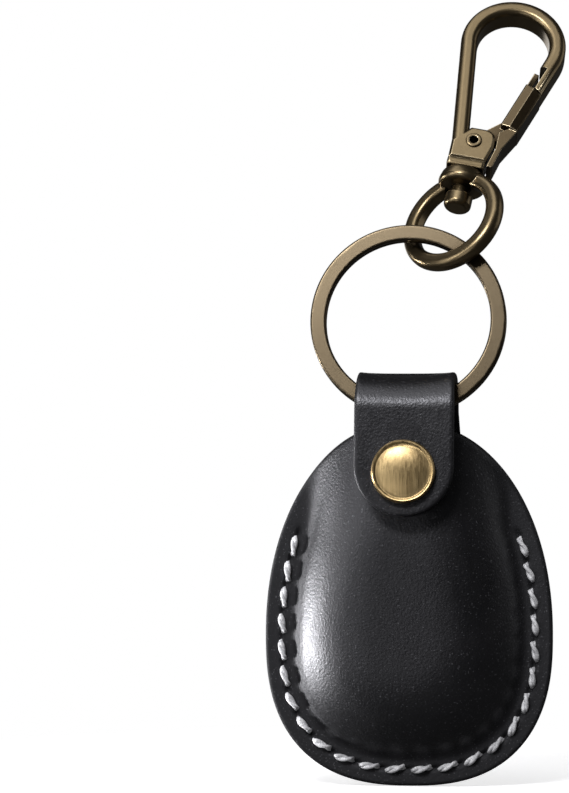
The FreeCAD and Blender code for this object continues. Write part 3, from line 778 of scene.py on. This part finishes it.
# Stitching
# Pale grey waxed thread, two strands twisted, sewn by hand: each stitch dips into an awl hole at both
# ends and slants a little across the seam.
strand_radius = 0.35
strand_offset = 0.23
stitch_length = 3.5
stitch_dip = 1.15
twist = math.radians(260)
stitch_steps = 24
strand_sides = 10
stitch_weld = 0.0001
front_seat = 0.42
back_seat = -0.02
end_slimming = 0.3
uneven_lift = 0.08
lift_pace = 1.7
uneven_lean = 0.3
lean_pace = 2.4
deselect()
bpy.ops.mesh.primitive_circle_add(
    vertices=strand_sides, radius=strand_radius, fill_type="NGON", location=(strand_offset, 0, 0)
)
stitch = bpy.context.object
bpy.ops.object.transform_apply(location=True)
bpy.ops.object.mode_set(mode="EDIT")
bpy.ops.mesh.select_all(action="SELECT")
for i in range(stitch_steps):
    bpy.ops.mesh.extrude_region_move(TRANSFORM_OT_translate={"value": (0, 0, stitch_length / stitch_steps)})
    bpy.ops.transform.rotate(value=twist / stitch_steps, orient_axis="Z", center_override=(0, 0, 0))
bpy.ops.mesh.select_all(action="SELECT")
bpy.ops.mesh.duplicate()
bpy.ops.transform.rotate(value=math.pi, orient_axis="Z", center_override=(0, 0, 0))
bpy.ops.object.mode_set(mode="OBJECT")
recalculate(stitch, stitch_weld)
for vertex in stitch.data.vertices:
    run = vertex.co.z - stitch_length / 2
    end = abs(run) / (stitch_length / 2)
    slim = 1 - end_slimming * end**3
    vertex.co = Vector((run, vertex.co.x * slim - stitch_dip * end**5, vertex.co.y * slim))


def sew(name, node, out, seat):
    """Copies the stitch to every place on one face of the seam."""
    copies = []
    for k, (place, way) in enumerate(stitch_middles):
        lean = slant * (1 + uneven_lean * math.sin(k * lean_pace))
        across = way.x * math.cos(lean) - way.y * math.sin(lean)
        along = Vector((across, 0, way.y * math.cos(lean) + way.x * math.sin(lean)))
        up = Vector((0, out, 0))
        side = along.cross(up)
        turn = Matrix((along, up, side)).transposed().to_4x4()
        copy = stitch.copy()
        copy.data = stitch.data.copy()
        bpy.context.scene.collection.objects.link(copy)
        copy.data.transform(Matrix.Translation((0, uneven_lift * math.sin(k * lift_pace), 0)))
        copy.data.transform(Matrix.Scale(mm, 4) @ turn)
        copy.data.transform(Matrix.Translation(case_point(place.x, seat, place.y)))
        copies.append(copy)
    deselect()
    for copy in copies:
        copy.select_set(True)
    bpy.context.view_layer.objects.active = copies[0]
    bpy.ops.object.join()
    row = bpy.context.object
    row.name = name
    recalculate(row, stitch_weld * mm)
    row.data.materials.append(waxed_thread)
    smooth(row, 60)
    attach(row, "case")
    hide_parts(node)


def thread_material():
    """Grey waxed thread, mottled by its fibres and a little dirt."""
    material, tree, shader = new_material("waxed_thread")
    place = object_place(tree)
    fibres = noise_node(tree, place, 4200, 3)
    dirt = noise_node(tree, place, 800, 3)
    pale = (0.9, 0.9, 0.93, 1)
    grey = (0.32, 0.32, 0.34, 1)
    clean = range_node(tree, dirt, 0.25, 0.6)
    share = math_node(tree, "MULTIPLY", range_node(tree, fibres, 0.25, 0.65), clean)
    tree.links.new(mix_colours(tree, share, grey, pale), shader.inputs["Base Color"])
    tree.links.new(range_node(tree, fibres, 0.3, 0.7, 0.42, 0.6), shader.inputs["Roughness"])
    tree.links.new(bump_node(tree, fibres, 0.5, 0.06 * mm), shader.inputs["Normal"])
    return material


waxed_thread = thread_material()
sew("front_stitches", "needle_thread", -1, -leather - front_seat)
sew("back_stitches", "bobbin_thread", 1, leather + back_seat)
bpy.data.objects.remove(stitch)

# Snap fastener
# A pressed brass cap with a rolled bead and a brushed face, its socket with a ring spring behind the
# tongue, and the stud that is riveted through the front panel.
cap_low, cap_high = (Vector(corner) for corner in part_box("snap_cap"))
cap_radius = (cap_high.x - cap_low.x) / 2
tongue_out = Vector((0, -math.cos(tongue_slope), math.sin(tongue_slope)))
tongue_up = Vector((0, math.sin(tongue_slope), math.cos(tongue_slope)))
snap_z = 49.6
cap_sides = 96
snap_drop = (arch_z - snap_z) / math.cos(tongue_slope) + arch_radius * math.tan(tongue_slope)
from_arch = tongue_out * (arch_radius + leather) - tongue_up * snap_drop
snap_place = case_point(0, -arch_radius, arch_z) + from_arch * mm
# Radius and height up the cap's outline, as shares of its radius.
cap_profile = [
    (0.86, 0.0),
    (0.97, 0.06),
    (1.0, 0.14),
    (0.985, 0.225),
    (0.945, 0.275),
    (0.895, 0.27),
    (0.87, 0.235),
    (0.845, 0.228),
    (0.72, 0.262),
    (0.55, 0.297),
    (0.38, 0.32),
    (0.2, 0.334),
    (0.06, 0.338),
]
cap_foot = cap_profile[0][0] * cap_radius
deselect()
bpy.ops.mesh.primitive_circle_add(vertices=cap_sides, radius=cap_foot, fill_type="NGON")
cap = bpy.context.object
cap.name = "snap_face"
bpy.ops.object.mode_set(mode="EDIT")
bpy.ops.mesh.select_all(action="SELECT")
for (share, height), (next_share, next_height) in zip(cap_profile, cap_profile[1:]):
    lift = (next_height - height) * cap_radius
    bpy.ops.mesh.extrude_region_move(TRANSFORM_OT_translate={"value": (0, 0, lift)})
    step = next_share / share
    bpy.ops.transform.resize(value=(step, step, 1))
bpy.ops.object.mode_set(mode="OBJECT")
side = tongue_up.cross(tongue_out)
turn = Matrix((side, tongue_up, tongue_out)).transposed().to_4x4()
cap.data.transform(Matrix.Translation(snap_place) @ turn)
recalculate(cap, weld)


def brushed_brass():
    """Lighter brass, brushed up and down a little off upright."""
    material, tree, shader = new_material("brushed_brass")
    place = tree.nodes.new("ShaderNodeTexCoord")
    mapping = tree.nodes.new("ShaderNodeMapping")
    mapping.inputs["Rotation"].default_value = (0, math.radians(9), 0)
    mapping.inputs["Scale"].default_value = (1, 1, 0.045)
    tree.links.new(place.outputs["Object"], mapping.inputs["Vector"])
    streaks = noise_node(tree, mapping.outputs["Vector"], 4200, 4)
    broad = noise_node(tree, mapping.outputs["Vector"], 900, 2)
    deep = (0.28, 0.19, 0.085, 1)
    gold = (0.64, 0.475, 0.245, 1)
    fine_share = math_node(tree, "MULTIPLY", streaks, 0.6)
    share = math_node(tree, "ADD", fine_share, math_node(tree, "MULTIPLY", broad, 0.4))
    colour = mix_colours(tree, range_node(tree, share, 0.3, 0.7), deep, gold)
    tree.links.new(colour, shader.inputs["Base Color"])
    tree.links.new(range_node(tree, streaks, 0.3, 0.7, 0.33, 0.44), shader.inputs["Roughness"])
    tree.links.new(bump_node(tree, streaks, 0.25, 0.02 * mm), shader.inputs["Normal"])
    shader.inputs["Metallic"].default_value = 1.0
    across = tree.nodes.new("ShaderNodeTangent")
    across.axis = "Z"
    tree.links.new(across.outputs["Tangent"], shader.inputs["Tangent"])
    shader.inputs["Anisotropic"].default_value = 0.55
    return material


snap_brass = brushed_brass()
cap.data.materials.append(snap_brass)
smooth(cap, 50)
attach(cap, "flap")
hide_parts("snap_cap")
cast_piece("snap_socket", "snap_cup", "flap", snap_brass)
cast_piece("snap_stud", "snap_button", "case", snap_brass)
dress("snap_socket_spring", spring_wire)
dress("snap_stud_post", snap_brass)

# Floor, light and camera
# A white floor that fades out, in front of a white background. A low box with a grid on the left lights
# the leather's flank, boxes above and in front light the fold, the cap and the brass, and weak ones
# stand behind and on the right.
floor_size = 0.3
floor_z = cad_box[0][2] - 0.1 * mm
floor_glow = 0.68
fade_start = 0.03
fade_end = 0.11
fill_light = 0.045
deselect()
bpy.ops.mesh.primitive_plane_add(size=floor_size, location=(case_x * mm, back_y * mm, floor_z))
floor = bpy.context.object
floor.name = "floor"
floor_paint, tree, shader = new_material("floor_paint")
seen = tree.nodes.new("ShaderNodeLightPath")
dim_paint = (0.1, 0.1, 0.1, 1)
white_paint = (0.9, 0.9, 0.93, 1)
paint = mix_colours(tree, seen.outputs["Is Camera Ray"], dim_paint, white_paint)
tree.links.new(paint, shader.inputs["Base Color"])
shader.inputs["Emission Color"].default_value = (1, 1, 1, 1)
glow = math_node(tree, "MULTIPLY", seen.outputs["Is Camera Ray"], floor_glow)
tree.links.new(glow, shader.inputs["Emission Strength"])
shader.inputs["Roughness"].default_value = 0.8
spread = tree.nodes.new("ShaderNodeVectorMath")
spread.operation = "LENGTH"
tree.links.new(object_place(tree), spread.inputs[0])
fade = range_node(tree, spread.outputs["Value"], fade_start, fade_end, 1, 0)
tree.links.new(fade, shader.inputs["Alpha"])
floor.data.materials.append(floor_paint)

world = bpy.data.worlds.new("studio")
bpy.context.scene.world = world
world.use_nodes = True
tree = world.node_tree
background = tree.nodes["Background"]
background.inputs["Color"].default_value = (1, 1, 1, 1)
rays = tree.nodes.new("ShaderNodeLightPath")
shown = math_node(tree, "MAXIMUM", rays.outputs["Is Camera Ray"], rays.outputs["Is Transmission Ray"])
tree.links.new(range_node(tree, shown, 0, 1, fill_light, 1.0), background.inputs["Strength"])

view_turn = math.radians(6)
to_viewer = Vector((math.sin(view_turn), -math.cos(view_turn), 0))
to_right = Vector((math.cos(view_turn), math.sin(view_turn), 0))
middle = case_point(0, -5, 61.5)


def soft_box(name, right, up, forward, width, height, power, aim=middle, spread=180):
    """A rectangular lamp, placed from the viewer's side; a grid can narrow its spread, in degrees."""
    light = bpy.data.lights.new(name, "AREA")
    light.shape = "RECTANGLE"
    light.size = width
    light.size_y = height
    light.energy = power
    light.spread = math.radians(spread)
    lamp = bpy.data.objects.new(name, light)
    bpy.context.scene.collection.objects.link(lamp)
    lamp.location = middle + to_right * right + to_viewer * forward + Vector((0, 0, up))
    lamp.rotation_euler = (lamp.location - aim).to_track_quat("Z", "Y").to_euler()


soft_box("left_box", -0.45, -0.115, -0.09, 0.2, 0.13, 0.23, case_point(0, 0, -8), 18)
soft_box("side_box", -0.42, 0.05, 0.25, 0.14, 0.4, 0.35)
soft_box("cap_box", -0.5, 0.2, 0.4, 0.14, 0.2, 0.5)
soft_box("front_box", -0.3, -0.08, 0.66, 0.3, 0.22, 0.42)
soft_box("fold_box", -0.22, 0.42, 0.47, 0.24, 0.13, 3.2)
soft_box("top_box", -0.05, 0.6, 0.3, 0.5, 0.15, 0.3)
soft_box("high_box", -0.2, 0.75, 0.1, 0.8, 0.4, 1.6)
soft_box("back_box", -0.2, 0.05, -0.8, 0.6, 0.25, 0.6)
soft_box("right_box", 0.6, 0.2, -0.1, 0.3, 0.5, 0.3)

view_distance = 0.6
frame_height = 0.1245
off_axis = 0.0192
camera = bpy.data.cameras.new("camera")
camera.sensor_fit = "VERTICAL"
camera.sensor_height = 36
camera.lens = camera.sensor_height * view_distance / frame_height
camera_object = bpy.data.objects.new("camera", camera)
bpy.context.scene.collection.objects.link(camera_object)
camera_object.location = middle + to_viewer * view_distance - to_right * off_axis
camera_object.rotation_euler = (math.pi / 2, 0, view_turn)
bpy.context.scene.camera = camera_object
bpy.context.scene.view_settings.view_transform = "Standard"
